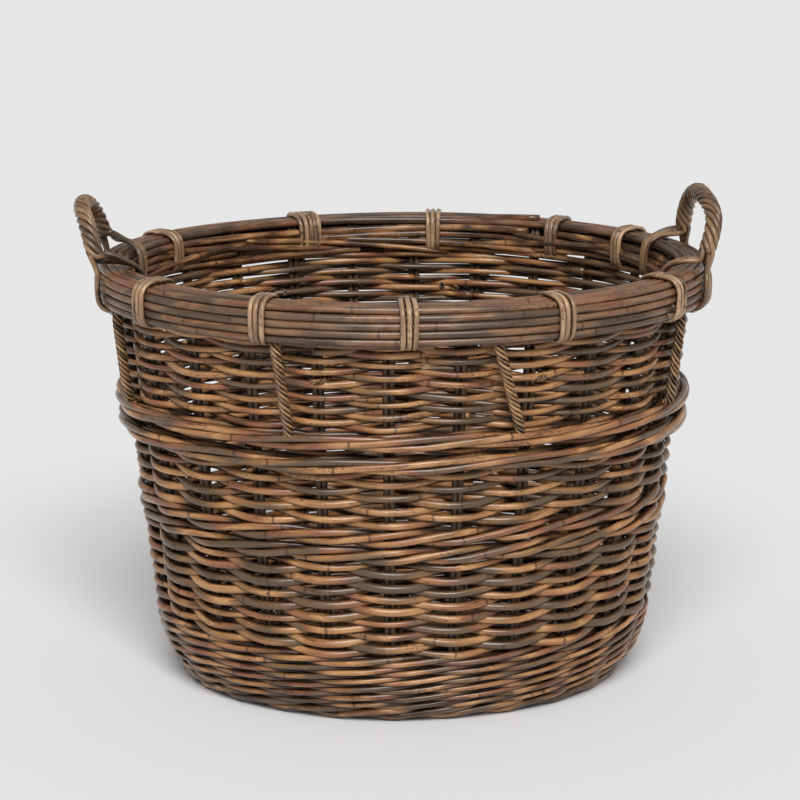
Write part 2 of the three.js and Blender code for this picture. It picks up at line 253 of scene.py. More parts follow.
def rod_surface(rod):
    """Vertices of one rod, their grain and crest values, and the distance run along it."""
    along = tangents(rod.points, rod.loop)
    outside = square_to(along, rod.face)
    face = untwisted(along, outside[0]) if rod.free else outside
    across = np.cross(along, face)
    turn = 2 * np.pi * np.arange(rod.sides) / rod.sides
    cos, sin = np.cos(turn)[None, :, None], np.sin(turn)[None, :, None]
    thick, wide = rod.thick[:, None, None], rod.wide[:, None, None]
    spots = rod.points[:, None] + face[:, None] * cos * thick + across[:, None] * sin * wide
    run = run_along(rod.points)
    grain = np.empty(spots.shape)
    grain[..., 0] = run[:, None]
    grain[..., 1] = (cos * thick)[..., 0]
    grain[..., 2] = (sin * wide)[..., 0]
    grain += rod.grain_start
    # Crest: rubbed colour and painted light on the sides that look outward and inward, stain and
    # painted shade on the sides between rods.
    outside_share = np.sum((face[:, None] * cos + across[:, None] * sin) * outside[:, None], axis=-1)
    front = np.maximum(outside_share, 0) * rod.rub_and_light[:, None]
    back = np.maximum(-outside_share, 0) * rod.back_rub_and_light[:, None]
    crest = RUB_AND_LIGHT_ALL_ROUND * np.maximum(rod.rub_and_light, rod.back_rub_and_light)[:, None]
    crest = crest + (1 - RUB_AND_LIGHT_ALL_ROUND) * (front + back)
    return spots.reshape(-1, 3), grain.reshape(-1, 3), crest.ravel(), run


def rod_faces(rod, run):
    """Quads of one rod as vertex numbers, their corners on an unrolled strip, how many of
    them are sides, and the length of the strip."""
    count, sides = len(rod.points), rod.sides
    rings = np.arange(count if rod.loop else count - 1)[:, None]
    side = np.arange(sides)[None, :]
    here, after = rings * sides, (rings + 1) % count * sides
    turn = (side + 1) % sides
    quads = np.stack([here + side, here + turn, after + turn, after + side], -1).reshape(-1, 4)
    closing = np.linalg.norm(rod.points[0] - rod.points[-1])
    length = np.append(np.diff(run), closing)[: len(rings)][:, None] + 0 * side
    start = run[: len(rings)][:, None] + 0 * side
    low = side / sides + 0 * rings
    strip = np.stack([
        np.stack([start, start, start + length, start + length], -1),
        np.stack([low, low + 1 / sides, low + 1 / sides, low], -1),
    ], -1).reshape(-1, 4, 2)
    if rod.loop:
        return quads, strip, len(quads), run[-1] + closing
    # Each cut end is a row of quads across, laid on the strip after the rod.
    ends = np.arange(sides // 2 - 1)
    cut = np.stack([ends, ends + 1, sides - 2 - ends, sides - 1 - ends], -1)
    turn = 2 * np.pi * cut / sides
    size = rod.thick.max()
    room = END_ROOM * size
    spot = np.stack([run[-1] + room / 2 + size * np.cos(turn), 0.5 + END_WIDE * np.sin(turn)], -1)
    faces = np.concatenate([quads, cut[:, ::-1], cut + (count - 1) * sides])
    corners = np.concatenate([strip, spot[:, ::-1], spot + [room, 0]])
    return faces, corners, len(quads), run[-1] + 2 * room


def rods_mesh(name, rods):
    """One mesh of many rods, with the values that their finish reads."""
    spots, grains, crests, tones, faces, strips, smooth = [], [], [], [], [], [], []
    vertex, reach = 0, 0.0
    for rod in rods:
        rod_spots, grain, crest, run = rod_surface(rod)
        quads, strip, sides_count, length = rod_faces(rod, run)
        spots.append(rod_spots)
        grains.append(grain)
        crests.append(crest)
        tones.append(np.full(len(rod_spots), rod.tone))
        faces.append(quads + vertex)
        strips.append(strip + [reach, 0])
        smooth.append(np.arange(len(quads)) < sides_count)
        vertex += len(rod_spots)
        reach += length
    strips = np.concatenate(strips)
    mesh = bpy.data.meshes.new(name)
    mesh.from_pydata(np.concatenate(spots) / METRE, [], np.concatenate(faces))
    mesh.polygons.foreach_set("use_smooth", np.concatenate(smooth))
    mesh.attributes.new("grain", "FLOAT_VECTOR", "POINT").data.foreach_set(
        "vector", np.concatenate(grains).ravel()
    )
    # crest is the share of rubbed, painted-lit colour; where it is low the rod shows stain and
    # painted shade.
    mesh.attributes.new("crest", "FLOAT", "POINT").data.foreach_set("value", np.concatenate(crests))
    mesh.attributes.new("tone", "FLOAT", "POINT").data.foreach_set("value", np.concatenate(tones))
    # The strips are wrapped into rows, so that no two faces share a place on the map.
    girth = 2 * np.pi * max(rod.wide.max() for rod in rods)
    row_length = math.sqrt(reach * girth)
    start = strips[:, :, 0].min(axis=1)
    row = np.floor(start / row_length)
    longest = (strips[:, :, 0].max(axis=1) - start).max()
    u = (strips[:, :, 0] - row[:, None] * row_length) / (row_length + longest)
    v = strips[:, :, 1] * (1 - 2 * ROW_MARGIN) + ROW_MARGIN
    v = (v + row[:, None]) / (row.max() + 1)
    uv_map = mesh.uv_layers.new(name="OFBake")
    uv_map.data.foreach_set("uv", np.stack([u, v], -1).ravel())
    mesh.update()
    return mesh


def make_piece(name, rods, material, slot, *nodes):
    """A piece of the basket made of rods, which stands in for some nodes of the frame."""
    mesh = rods_mesh(name, rods)
    mesh.materials.append(material)
    piece = bpy.data.objects.new(name, mesh)
    bpy.context.scene.collection.objects.link(piece)
    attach(piece, "root")
    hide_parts(*nodes)
    return piece


# ---- Finishes ----
def linear(hex_colour):
    """A linear colour from an sRGB hex value."""
    values = [int(hex_colour[i:i + 2], 16) / 255 for i in (1, 3, 5)]
    return [v / 12.92 if v <= 0.04045 else ((v + 0.055) / 1.055) ** 2.4 for v in values] + [1.0]


def add_node(tree, kind, sockets=None, **settings):
    """Adds a node, sets its fields, and fills its sockets with values or links."""
    made = tree.nodes.new(kind)
    for name, value in settings.items():
        setattr(made, name, value)
    for name, value in (sockets or {}).items():
        if isinstance(value, bpy.types.NodeSocket):
            tree.links.new(value, made.inputs[name])
        else:
            made.inputs[name].default_value = value
    return made


# Each layer of noise: its length along the rod, its width, and its detail.
LAYERS = {
    "fibre": (45.0, 0.9, 3.0),  # real fibres are finer, but this is as fine as shows
    "drift": (75.0, 30.0, 1.0),  # the cane's own colour changes along a rod
    "blotch": (30.0, 7.0, 2.0),  # stain taken up unevenly
    "speck": (3.5, 1.5, 2.0),  # stain left in pores and nicks
    "bark": (55.0, 9.0, 1.0),  # patches where the bark is left on in flecks
}
JOINT_SPACING = 190.0  # leaf joints of the cane
JOINT_WIDE = 1.8
JOINT_RAGGED = 1.2
DRIFT_PULL = 0.5  # how far the drift moves a rod along its range of colours
BLOTCH_PULL = 0.42  # how far blotches move the edge between stained and rubbed
BARK_PULL = 0.14
FLECK_DARK = 0.6
JOINT_DARK = 0.8
FIBRE_SHADES = (0.72, 1.2)
JOINT_RIDGE = 0.6  # a joint stands up this much of a fibre's height
FIBRE_HEIGHT = 0.4  # real fibres stand lower, but this is as low as shows
MIX_FACTOR, MIX_FIRST, MIX_SECOND, MIX_RESULT = 0, 6, 7, 2  # a colour mix's sockets


def rod_finish(name, skin, stain_and_shade, rubbed, roughness, coat=0.25):
    """Rattan stained dark, rubbed back and painted lit where it stands proud, then varnished satin.
    skin is the colours that rods differ by, and the colour after it is that of the recesses: stain
    and painted shade together."""
    material = bpy.data.materials.new(name)
    material.use_nodes = True
    tree = material.node_tree
    tree.nodes.clear()
    grain = add_node(tree, "ShaderNodeAttribute", attribute_name="grain").outputs["Vector"]
    tone = add_node(tree, "ShaderNodeAttribute", attribute_name="tone").outputs["Fac"]
    crest = add_node(tree, "ShaderNodeAttribute", attribute_name="crest").outputs["Fac"]
    # The recess colour: stain and painted shade together; the flecks and joints take it too.
    stain = linear(stain_and_shade)

    noise = {}
    for layer, (long, wide, detail) in LAYERS.items():
        drawn_out = {0: grain, 1: (1 / long, 1 / wide, 1 / wide)}
        scaled = add_node(tree, "ShaderNodeVectorMath", drawn_out, operation="MULTIPLY")
        sockets = {"Vector": scaled.outputs["Vector"], "Scale": 1.0, "Detail": detail}
        noise[layer] = add_node(tree, "ShaderNodeTexNoise", sockets).outputs["Fac"]

    # Noise is spread to the range that each use needs: from low and high, to low and high.
    use = {}
    for part, value, *limits in (
        ("drift", noise["drift"], 0.3, 0.7, -DRIFT_PULL, DRIFT_PULL),
        ("edge", noise["blotch"], 0.25, 0.75, -BLOTCH_PULL, BLOTCH_PULL),
        ("bark", noise["bark"], 0.54, 0.66, 0.0, BARK_PULL),
        ("ragged", noise["speck"], 0.3, 0.7, -JOINT_RAGGED, JOINT_RAGGED),
        ("fibre", noise["fibre"], 0.3, 0.7, *FIBRE_SHADES),
        ("roughness", noise["blotch"], 0.3, 0.7, *roughness),
    ):
        sockets = {"Value": value, **dict(enumerate(limits, 1))}
        use[part] = add_node(tree, "ShaderNodeMapRange", sockets).outputs["Result"]

    # Each rod keeps its own colour, which drifts along it.
    shade = add_node(tree, "ShaderNodeMath", {0: tone, 1: use["drift"]}, operation="ADD")
    ramp = add_node(tree, "ShaderNodeValToRGB", {"Fac": shade.outputs[0]})
    for i, colour in enumerate(skin):
        stops = ramp.color_ramp.elements
        at = i / (len(skin) - 1)
        stop = stops[0] if i == 0 else stops[-1] if at == 1 else stops.new(at)
        stop.position = at
        stop.color = linear(colour)

    # The stain stays where the rods dip, with painted shade there, and its edge follows the
    # blotches; worn is the share of rubbed, painted-lit colour.
    edge = add_node(tree, "ShaderNodeMath", {0: crest, 1: use["edge"]}, operation="ADD")
    sockets = {"Value": edge.outputs[0], 1: rubbed[0], 2: rubbed[1]}
    worn = add_node(tree, "ShaderNodeMapRange", sockets)

    # Flecks are stain in the pores, and are thick where the bark is left on.
    flecks = add_node(tree, "ShaderNodeMath", {0: noise["speck"], 1: use["bark"]}, operation="ADD")
    sockets = {"Value": flecks.outputs[0], 1: 0.6, 2: 0.72, 3: 0.0, 4: FLECK_DARK}
    fleck = add_node(tree, "ShaderNodeMapRange", sockets)

    # A leaf joint is a dark ring round the rod, ragged at its edges.
    along = add_node(tree, "ShaderNodeSeparateXYZ", {0: grain}).outputs["X"]
    run = add_node(tree, "ShaderNodeMath", {0: along, 1: use["ragged"]}, operation="ADD")
    to_and_fro = {0: run.outputs[0], 1: JOINT_SPACING / 2}
    ring = add_node(tree, "ShaderNodeMath", to_and_fro, operation="PINGPONG")
    sockets = {"Value": ring.outputs[0], 1: JOINT_WIDE, 2: 0.3 * JOINT_WIDE, 3: 0.0, 4: JOINT_DARK}
    joint = add_node(tree, "ShaderNodeMapRange", sockets)

    colour = stain
    for factor, over, how in (
        (worn.outputs["Result"], ramp.outputs["Color"], "MIX"),
        (fleck.outputs["Result"], stain, "MIX"),
        (joint.outputs["Result"], stain, "MIX"),
        (1.0, use["fibre"], "MULTIPLY"),
    ):
        sockets = {MIX_FACTOR: factor, MIX_FIRST: colour, MIX_SECOND: over}
        mix = add_node(tree, "ShaderNodeMix", sockets, data_type="RGBA", blend_type=how)
        colour = mix.outputs[MIX_RESULT]

    sockets = {"Value": joint.outputs["Result"], 3: 0.0, 4: JOINT_RIDGE}
    ridge = add_node(tree, "ShaderNodeMapRange", sockets).outputs["Result"]
    raised = add_node(tree, "ShaderNodeMath", {0: noise["fibre"], 1: ridge}, operation="ADD")
    relief = {"Height": raised.outputs[0], "Strength": 0.4, "Distance": FIBRE_HEIGHT / METRE}
    bump = add_node(tree, "ShaderNodeBump", relief)
    surface = add_node(tree, "ShaderNodeBsdfPrincipled", {
        "Base Color": colour,
        "Roughness": use["roughness"],
        "Normal": bump.outputs["Normal"],
        "IOR": 1.5,
        "Specular IOR Level": 0.32,
        "Coat Weight": coat,
        "Coat Roughness": 0.2,
    })
    add_node(tree, "ShaderNodeOutputMaterial", {"Surface": surface.outputs["BSDF"]})
    return material


def weaver_finish():
    """Varnished rattan rods: crests rubbed and painted lit to warm tan, orange and red-brown,
    recesses left dark grey-brown by stain and painted shade, so the weave reads as bright strokes on
    a dark wall."""
    skin = ("#5c4937", "#80603f", "#9f7045", "#b98a5b", "#9f6c44", "#86563c", "#6b523c")
    return rod_finish("rubbed_stained_rattan", skin, "#3c2516", (0.32, 0.8), (0.24, 0.4), 0.4)


def stake_finish():
    """The same rattan, hardly rubbed, because the weavers cover it: grey-brown."""
    skin = ("#554637", "#6a523c", "#7c5e42")
    return rod_finish("dark_stained_rattan", skin, "#3b2e24", (0.3, 0.9), (0.34, 0.5))


def rim_finish():
    """Thicker rattan, handled and greyed, with a satin light along each rod."""
    skin = ("#4f3d2f", "#6b523d", "#8a6447", "#774e39", "#81644a", "#5a4636")
    return rod_finish("greyed_rim_rattan", skin, "#382415", (0.2, 0.75), (0.24, 0.4), 0.35)


def cane_finish():
    """Split cane with the skin on: the palest finish, straw over brown."""
    skin = ("#826750", "#a58463", "#bd9c78", "#906f53")
    return rod_finish("split_cane", skin, "#422c1a", (0.3, 0.8), (0.24, 0.38), 0.4)


def handle_finish():
    """Rods twisted green and dried, then worn by hands: grey-brown, with light edges from wear and
    painted light, and painted shade where strands turn into the twist.
    """
    skin = ("#604d3b", "#806349", "#9e7d5a", "#76563f")
    return rod_finish("hand_worn_twisted_rattan", skin, "#332214", (0.28, 0.75), (0.24, 0.4), 0.35)


def tie_finish():
    """Thin split rods laid up like rope: orange-brown, with grooves between them dark with stain and
    painted shade.
    """
    skin = ("#7a5a3e", "#9a7049", "#b08a5f", "#86603f")
    return rod_finish("roped_split_rattan", skin, "#261a11", (0.45, 0.9), (0.32, 0.48))


def base_finish():
    """Base rods, unhandled, so they keep an even dull brown stain."""
    skin = ("#5a4534", "#775839", "#8f6843")
    return rod_finish("base_stained_rattan", skin, "#362a20", (0.3, 0.8), (0.4, 0.55), 0.0)


# ---- Woven rows ----
RUB_AND_LIGHT_FRONT = (-0.75, 0.1)  # a rod is rubbed and painted lit from here to here in its swing, 1 being furthest out, and keeps stain and painted shade where it dips
RUB_AND_LIGHT_BACK = (-0.95, -0.1)
FLOOR_SHADE = ((0.0, 70.0), (0.62, 1.0))  # heights, and how much of the rubbed colour is kept at each: painted shade darkens the rods towards the floor
WEAVE_SHELTER = -0.15  # how much less of its swing a rod is rubbed and painted lit over
WALE_SHELTER = 0.45
FOOT_SHELTER = 0.85
ROW_WANDER = ((0.6, 0.9), (0.5, 2.3))  # millimetres up and down, and radians for a spacing
OUT_WANDER = (0.5, 1.7)
BORDER_RODS = 6
BORDER_LENGTH = 8
BORDER_RISE = 7.0


def curve(before, here, after, later, part):
    """A smooth curve through four knots, part of the way from the second to the third."""
    bend = 2 * before - 5 * here + 4 * after - later + part * (3 * (here - after) + later - before)
    return here + 0.5 * part * (after - before + part * bend)


def cycle(knots, turns):
    """A smooth closed curve through evenly spaced knots, one period for each turn."""
    knots = np.asarray(knots, float)
    spot = (turns % 1) * len(knots)
    index = np.floor(spot).astype(int)
    part = spot - index
    return curve(*(knots[(index + i) % len(knots)] for i in (-1, 0, 1, 2)), part)


def stepped(value, low, high):
    """0 below low, 1 above high, and a smooth step between."""
    part = np.clip((value - low) / (high - low), 0, 1)
    return part * part * (3 - 2 * part)


def wall_rod(place, out, height, thick, swing, shelter):
    """A rod along the wall that tapers from butt to tip, rubbed and painted lit where it swings out,
    with stain and painted shade where it dips and painted shade towards the floor. With more shelter
    it is rubbed and painted lit over less of its length."""
    taper = np.linspace(*TAPER, len(place))
    rub_and_light = stepped(swing, RUB_AND_LIGHT_FRONT[0] + shelter, RUB_AND_LIGHT_FRONT[1] + shelter)
    # Painted shade: the rods are painted darker towards the floor.
    rub_and_light = rub_and_light * np.interp(height, *FLOOR_SHADE)
    back_rub_and_light = stepped(-swing, RUB_AND_LIGHT_BACK[0] + shelter, RUB_AND_LIGHT_BACK[1] + shelter)
    points = wall_point(place, out, height)
    return Rod(points, thick * taper, outward(place), rub_and_light, back_rub_and_light)


def woven_row(row, height, thick, rise=0.0, start=None, length=None):
    """One row, in front of one stake pair and behind the next, as two rods end to end, or
    as one rod of a given length. Both ends stand behind a stake."""
    start = start if start is not None else FIRST_STAKE + row % 2 + 1 + 2 * rng.integers(12)
    first = 2 * rng.integers(5, 8)
    parts = (length,) if length else (first, STAKES - first)
    rods = []
    for part in parts:
        place = np.linspace(start, start + part, part * POINTS_PER_SPACING + 1)
        swing = np.cos(np.pi * (place - FIRST_STAKE + row))
        level = settled(place, height + rise * np.linspace(0, 1, len(place)))
        *phases, out_phase = rng.uniform(0, 6, 3)
        for (size, rate), phase in zip(ROW_WANDER, phases):
            level = level + size * np.sin(rate * place + phase)
        level = level - WEAVER_SAG * swing
        out = stake_out(place, level) + WEAVER_SWING * swing
        out = out + OUT_WANDER[0] * np.sin(OUT_WANDER[1] * place + out_phase)
        size = thick * rng.uniform(*WEAVER_SIZES)
        rods.append(wall_rod(place, out, level, size, swing, WEAVE_SHELTER))
        start += part
    return rods


def woven_bands(name, rows_of_bands, first_row, thick, material):
    """Woven rods at an even pitch, shared among the CAD's bands."""
    bottom = low_high(f"{name}_1")[0]
    top = low_high(f"{name}_{len(rows_of_bands)}")[1]
    pitch = (top - bottom) / sum(rows_of_bands)
    row = 0
    for band, rows in enumerate(rows_of_bands, 1):
        rods = []
        for _ in range(rows):
            rods += woven_row(first_row + row, bottom + (row + 0.5) * pitch, thick)
            row += 1
        if name == "upper_weave" and band == len(rows_of_bands):
            rods += border_rods(first_row + row, top)
        make_piece(f"{name}_rods_{band}", rods, material, "weaver", f"{name}_{band}")


def border_rods(row, top):
    """Rods that climb out of the weave and end under the rim."""
    rods = []
    for i in range(BORDER_RODS):
        at = FIRST_STAKE + STAKES // BORDER_RODS * i + (row + i) % 2
        height = top - 1 + 2 * (i % 2)
        rods += woven_row(row + i, height, UPPER_WEAVER, BORDER_RISE, at, BORDER_LENGTH)
    return rods


# ---- Waling ----
# A strand passes in front of two stakes and behind the third, and climbs as it goes.
WALE_OUT = (1, 1, 1, 0, -1, 0)
WALE_RISE = (-1, 0, 1, 1, 0, -1)
SHOULDER_OUT = (1, 1, 1, 0.8, 0.55, 0.8)
FOOT_OUT = (0.7, 1, 0.7, 0, -1, 0)
STRANDS = 3
WALE_STROKE = 3  # stakes for one turn of a strand
WALE_CLIMB = 0.6  # climb beyond half a strand's thickness, which opens the band
FOOT_CLIMB = -0.1
WALER_SIZES = (0.92, 1.06)


def wale_round(height, thick, reach, knots, stroke, climb=0.0, shelter=WALE_SHELTER):
    """Three strands that take turns, once round the basket."""
    rods = []
    offset = rng.integers(STAKES)
    for strand in range(STRANDS):
        start = FIRST_STAKE + offset + stroke * (strand + 2.0) / STRANDS
        place = np.linspace(start, start + STAKES, STAKES * POINTS_PER_SPACING + 1)
        turns = (place - FIRST_STAKE - offset) / stroke - strand / STRANDS
        swing = cycle(knots, turns)
        level = height + (thick / 2 + climb) * cycle(WALE_RISE, turns)
        level = settled(place, level)
        out = stake_out(place, level) + reach * swing
        size = thick * rng.uniform(*WALER_SIZES)
        rods.append(wall_rod(place, out, level, size, swing, shelter))
    return rods


def wale(name, rounds, material):
    """A waling band. The shoulder's two bands have an outer round that stands proud."""
    low, high = low_high(name)
    pitch = (high - low) / rounds
    rods = []
    for i in range(rounds):
        height = low + (i + 0.5) * pitch
        rods += wale_round(height, WALER_THICK, WALER_SWING, WALE_OUT, WALE_STROKE, WALE_CLIMB)
    if name.startswith("shoulder"):
        middle = (low + high) / 2
        rods += wale_round(middle, WALER_THICK, SHOULDER_REACH, SHOULDER_OUT, SHOULDER_STROKE)
    if name == "shoulder_wale_lower":
        slot = low_high("shoulder_wale_upper")[0] - high
        rods += woven_row(1, high + slot / 2, SLOT_WEAVER)
    make_piece(f"{name}_rods", rods, material, "weaver", name)


def foot(material):
    """One heavy round on the floor, and thinner rounds packed tight above it."""
    low, high = low_high("foot_wale")
    heavy = 2 * WALER_THICK
    height = low + heavy / 2 + FOOT_LIFT
    rods = wale_round(height, WALER_THICK, WALER_SWING, WALE_OUT, WALE_STROKE)
    pitch = (high - low - heavy) / FOOT_ROUNDS
    for i in range(FOOT_ROUNDS):
        height = low + heavy + (i + 0.5) * pitch
        rods += wale_round(height, FOOT_WEAVER, FOOT_SWING, FOOT_OUT, WALE_STROKE,
                           FOOT_CLIMB, FOOT_SHELTER)
    make_piece("foot_wale_rods", rods, material, "weaver", "foot_wale")


# ---- Stakes ----
STAKE_LEAN = 0.5
STAKE_RUB_AND_LIGHT = 0.6
STAKE_PACKING = 0.51  # half the pitch of a pair, in stakes
STAKE_SHAVED = 0.98  # a stake's thickness, so that a pair shows a line between
STAKE_POINTS = 40


def stake_pair(node, material):
    """Two stakes side by side, each with a slight lean of its own."""
    place = measure(node_points(node))[0]
    rods = []
    for side in (-1, 1):
        height = np.linspace(STAKE_FOOT + STAKE_LIFT, STAKE_TOP, STAKE_POINTS)
        lean = rng.uniform(-STAKE_LEAN, STAKE_LEAN) * np.sin(height / 70 + rng.uniform(0, 6))
        at = place + (side * STAKE_THICK * STAKE_PACKING + lean) / SPACING
        points = wall_point(at, stake_out(place, height), height)
        thick = STAKE_THICK * STAKE_SHAVED
        # Rubbed and painted lit alike in front and behind; the sides that face along the wall keep
        # painted shade.
        rods.append(Rod(points, thick, outward(place), STAKE_RUB_AND_LIGHT, STAKE_RUB_AND_LIGHT))
    make_piece(f"{node}_rods", rods, material, "stake", node)


# ---- Rim ----
# Distances outward are measured like the wall's, so those inside the rim are negative.
RIM_RADIUS = RIM_ROD_THICK / 2
OUTER_RODS = 4
OUTER_CLEAR = 0.2  # the outer rods' skin to the rim's outer face and underside
LOWEST_SET_IN = 1.6
OUTER_PACKING = 0.98  # pitch of the stacked rods, in rods
OUTER_WANDER = 0.35  # how far a rod strays from its line
# Two looser rods lie under the bundle: thickness, start, length and rise.
UNDER_RODS = ((6.4, 3.3, 15.0, 3.0), (6.0, 18.9, 8.0, -3.0))
UNDER_OUT = -12.5
UNDER_DROP = 1.0
UNDER_WANDER = 1.5
TOP_OUTS = (-8.3, -15.6, -22.9, -30.0)
TOP_EDGE_DROP = 0.8  # the rods at the edges of the top lie a little lower
TOP_WANDER = 0.5
CUT_ROD_BINDING = "rim_binding_2"  # one short rod ends in a cut beside this binding
CUT_ROD_PAST = 0.3  # how far past it, in stake spacings
CUT_ROD = (-24.0, 7.0, 0.2, 2.2, -7.0)  # distance outward, thickness, wander, length, rise
CUT_ROD_DROP = 2.0
INNER_RODS = 4
INNER_PITCH = 7.6
INNER_SET_IN = 3.2  # into the bundle from its inner face
INNER_ABOVE = 1.5
INNER_WANDER = 1.8
INNER_GAP = 0.4  # between the two ends of a rod that goes round, in stake spacings
SLANTED_RODS = 15  # short rods laid over the inner ones at a slant
SLANTED_PITCH = 1.6
SLANTED_LENGTH = 3.6
SLANTED_RISES = (18.0, -15.0, 11.0, 22.0)
SLANTED_HEIGHTS = (9, 19)
SLANTED_SIZES = (5.2, 6.6)
SLANTED_PROUD = 1.2
SLANTED_WANDER = 0.8
SLANTED_TUCK = 9.0


def rim_rod(out, height, thick, wander, start, length, rise=0.0, tuck=0.0):
    """A rod along the rim. With some tuck its ends turn outward, into the bundle."""
    place = np.linspace(start, start + length, int(length * 5) + 1)
    out = out + tuck * np.linspace(-1, 1, len(place)) ** 8
    phase = rng.uniform(0, 6, 2)
    turn = 2 * np.pi * place / STAKES
    out = out + wander * np.sin(5 * turn + phase[0])
    level = height + wander * np.sin(4 * turn + phase[1]) + rise * np.linspace(-0.5, 0.5, len(place))
    points = wall_point(place, out, level)
    size = thick * np.linspace(1.05, 0.94, len(place))
    # Rubbed and painted lit on its upper outer side, less on its inner side; the sides between rods
    # keep stain and painted shade.
    facing = outward(place) + [0, 0, 0.8]
    return Rod(points, size, facing, 1.0, 0.6, sides=10)


def rim_rods(material, inner_material):
    """The bundle: rods stacked outside the stakes, laid over their ends, and inside."""
    outer = []
    for i in range(OUTER_RODS):
        height = RIM_BOTTOM + RIM_RADIUS + OUTER_CLEAR + i * RIM_ROD_THICK * OUTER_PACKING
        inset = RIM_RADIUS + OUTER_CLEAR + (LOWEST_SET_IN if i == 0 else 0)
        start = rng.uniform(0, STAKES)
        outer.append(rim_rod(-inset, height, RIM_ROD_THICK, OUTER_WANDER, start, STAKES))
    for size, start, length, rise in UNDER_RODS:
        height = RIM_BOTTOM - UNDER_DROP
        outer.append(rim_rod(UNDER_OUT, height, size, UNDER_WANDER, start, length, rise))
    make_piece("rim_outer_rods_laid", outer, material, "rim_rod", "rim_outer_rods")

    top = []
    for out in TOP_OUTS:
        at_edge = out in (TOP_OUTS[0], TOP_OUTS[-1])
        height = RIM_TOP - RIM_RADIUS - (TOP_EDGE_DROP if at_edge else 0.0)
        start = rng.uniform(0, STAKES)
        top.append(rim_rod(out, height, RIM_ROD_THICK, TOP_WANDER, start, STAKES))
    out, size, wander, length, rise = CUT_ROD
    cut_end = measure(node_points(CUT_ROD_BINDING))[0] + CUT_ROD_PAST
    top.append(rim_rod(out, RIM_TOP - CUT_ROD_DROP, size, wander, cut_end, length, rise))
    make_piece("rim_top_rods_laid", top, material, "rim_rod", "rim_top_rods")

    inner = []
    out, length = RIM_INNER_FACE + INNER_SET_IN, STAKES - INNER_GAP
    for i in range(INNER_RODS):
        height = RIM_BOTTOM + INNER_ABOVE + i * INNER_PITCH
        start = STAKES * rng.random()
        inner.append(rim_rod(out, height, INNER_RIM_THICK, INNER_WANDER, start, length))
    out, length = RIM_INNER_FACE - SLANTED_PROUD, SLANTED_LENGTH
    for i in range(SLANTED_RODS):
        rise = SLANTED_RISES[i % len(SLANTED_RISES)]
        start = SLANTED_PITCH * i + rng.uniform(0, SLANTED_PITCH / 2)
        height = RIM_BOTTOM + rng.uniform(*SLANTED_HEIGHTS)
        size = rng.uniform(*SLANTED_SIZES)
        inner.append(rim_rod(out, height, size, SLANTED_WANDER, start, length, rise, SLANTED_TUCK))
    make_piece("rim_inner_rods_laid", inner, inner_material, "rim_rod", "rim_inner_rods")


RIM_MIDDLE = (RIM_INNER_FACE / 2, (RIM_BOTTOM + RIM_TOP) / 2)
RIM_HALF = (-RIM_INNER_FACE / 2, (RIM_TOP - RIM_BOTTOM) / 2)
RIM_ROUNDNESS = 0.6  # at 1 the rim's section is an oval, and below it has fuller corners


def round_rim(turn, grow):
    """Distance outward and height of a wrapping, turned outward from the top of the rim."""
    across = np.sign(np.sin(turn)) * np.abs(np.sin(turn)) ** RIM_ROUNDNESS
    up = np.sign(np.cos(turn)) * np.abs(np.cos(turn)) ** RIM_ROUNDNESS
    return RIM_MIDDLE[0] + (RIM_HALF[0] + grow) * across, RIM_MIDDLE[1] + (RIM_HALF[1] + grow) * up


def evenly(points, step):
    """The same path with points a step apart."""
    run = run_along(points)
    marks = np.linspace(0, run[-1], max(3, int(run[-1] / step)))
    return np.stack([np.interp(marks, run, points[:, i]) for i in range(3)], -1)


BINDING_TURNS = (-1, 0, 1)
LONG_BINDING = "rim_binding_4"  # this one has five turns
LONG_TURNS = (-1.6, -0.8, 0, 1, 2)
BINDING_STEP = 3.4
CANE_PACKING = 1.06  # pitch of the turns, in widths of the cane
CANE_CLEAR = 0.1
BINDING_SLANT = 1.5  # how far a turn leans along the rim as it goes round
BINDING_SPREAD = 0.5  # how far the outer turns part on top, and close below
BINDING_STRAY = 0.4


def binding(node, material):
    """Turns of cane side by side round the rim, drawn closer under it."""
    turns = LONG_TURNS if node == LONG_BINDING else BINDING_TURNS
    place = measure(node_points(node))[0]
    rods = []
    for turn in turns:
        around = np.linspace(0, 2 * np.pi, 241)
        out, height = round_rim(around, CANE_THICK / 2 + CANE_CLEAR)
        slant = BINDING_SLANT * np.sin(around) + turn * BINDING_SPREAD * np.cos(around)
        slant = slant + rng.uniform(-BINDING_STRAY, BINDING_STRAY)
        at = place + (turn * CANE_WIDE * CANE_PACKING + slant) / SPACING
        points = evenly(wall_point(at, out, height), BINDING_STEP)[:-1]
        middle = wall_point(place, *RIM_MIDDLE)
        # Each turn is rubbed and painted lit on its outer face; its inner face and the sides between
        # turns keep stain and painted shade.
        rods.append(Rod(points, CANE_THICK, points - middle, wide=CANE_WIDE, loop=True))
    make_piece(f"{node}_cane", rods, material, "cane_binding", node)


# ---- Twisted rods ----
def smooth_path(points, step):
    """An even path through some points, rounded at each."""
    points = np.asarray(points, float)
    steps = np.linspace(0, len(points) - 1, 24 * len(points))
    padded = np.concatenate([[2 * points[0] - points[1]], points, [2 * points[-1] - points[-2]]])
    index = np.minimum(steps.astype(int), len(points) - 2)
    part = (steps - index)[:, None]
    return evenly(curve(*(padded[index + i] for i in range(4)), part), step)


def laid_round(centre, side, radius, pitch, share):
    """One strand's path round a centre line, and the way it faces."""
    along = tangents(centre)
    side = square_to(along, side)
    other = np.cross(along, side)
    turn = (2 * np.pi * (run_along(centre) / pitch + share))[:, None]
    face = side * np.cos(turn) + other * np.sin(turn)
    return centre + face * radius, face


HANDLE_STRANDS = 6
HANDLE_RADIUS = 5.9  # a strand's middle to the handle's middle
ARCH_FULLNESS = 0.8  # below 1 the legs stand more upright than in a half circle
